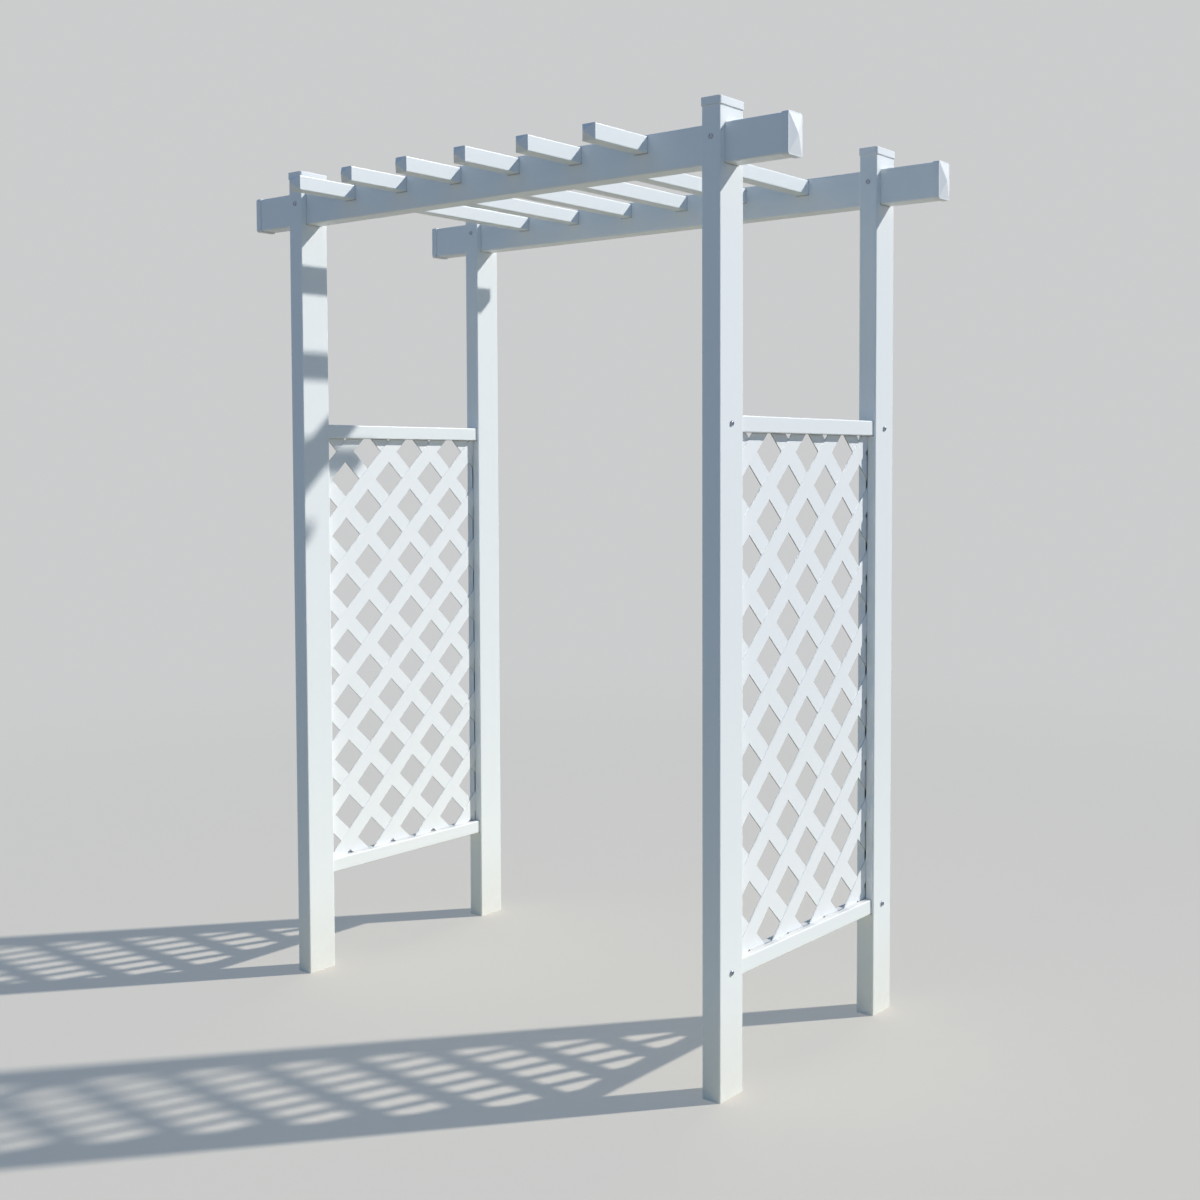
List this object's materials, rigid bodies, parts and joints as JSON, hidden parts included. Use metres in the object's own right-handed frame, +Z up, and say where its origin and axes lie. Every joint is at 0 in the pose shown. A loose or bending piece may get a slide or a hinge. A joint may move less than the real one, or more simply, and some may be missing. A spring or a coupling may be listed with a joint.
{
  "type": "garden arbor",
  "caption": "White vinyl garden arbor: four hollow posts, two beams and purlins run through them, and a diagonal lattice panel between two rails on each side.",
  "frame": {"origin": "on the ground, in the middle of the four posts: centre of the base of the bounding box", "axes": "+Z up, +X to the right across the walk-through along the beams, +Y through the arbor from its front to its back along the purlins"},
  "size_m": [1.845, 1.115, 2.2505],
  "materials": {
    "extruded_vinyl": "smooth white extruded PVC, semi-gloss",
    "moulded_vinyl": "smooth white moulded PVC, semi-gloss",
    "lattice_vinyl": "white PVC slats, semi-gloss",
    "screw_steel": "zinc-plated steel, dull with weather"
  },
  "bodies": {
    "root": {"post_front_left": "extruded_vinyl", "post_back_left": "extruded_vinyl", "post_front_right": "extruded_vinyl", "post_back_right": "extruded_vinyl", "post_cap_front_left": "moulded_vinyl", "post_cap_back_left": "moulded_vinyl", "post_cap_front_right": "moulded_vinyl", "post_cap_back_right": "moulded_vinyl", "beam_front": "extruded_vinyl", "beam_back": "extruded_vinyl", "beam_cap_front_left": "moulded_vinyl", "beam_cap_back_left": "moulded_vinyl", "beam_cap_front_right": "moulded_vinyl", "beam_cap_back_right": "moulded_vinyl", "purlin_1": "extruded_vinyl", "purlin_2": "extruded_vinyl", "purlin_3": "extruded_vinyl", "purlin_4": "extruded_vinyl", "purlin_5": "extruded_vinyl", "purlin_6": "extruded_vinyl", "purlin_plug_front_1": "moulded_vinyl", "purlin_plug_front_2": "moulded_vinyl", "purlin_plug_front_3": "moulded_vinyl", "purlin_plug_front_4": "moulded_vinyl", "purlin_plug_front_5": "moulded_vinyl", "purlin_plug_front_6": "moulded_vinyl", "purlin_plug_back_1": "moulded_vinyl", "purlin_plug_back_2": "moulded_vinyl", "purlin_plug_back_3": "moulded_vinyl", "purlin_plug_back_4": "moulded_vinyl", "purlin_plug_back_5": "moulded_vinyl", "purlin_plug_back_6": "moulded_vinyl", "top_rail_left": "extruded_vinyl", "top_rail_right": "extruded_vinyl", "bottom_rail_left": "extruded_vinyl", "bottom_rail_right": "extruded_vinyl", "lattice_left": "lattice_vinyl", "lattice_right": "lattice_vinyl", "beam_screws": "screw_steel", "rail_screws": "screw_steel"}
  },
  "joints": []
}
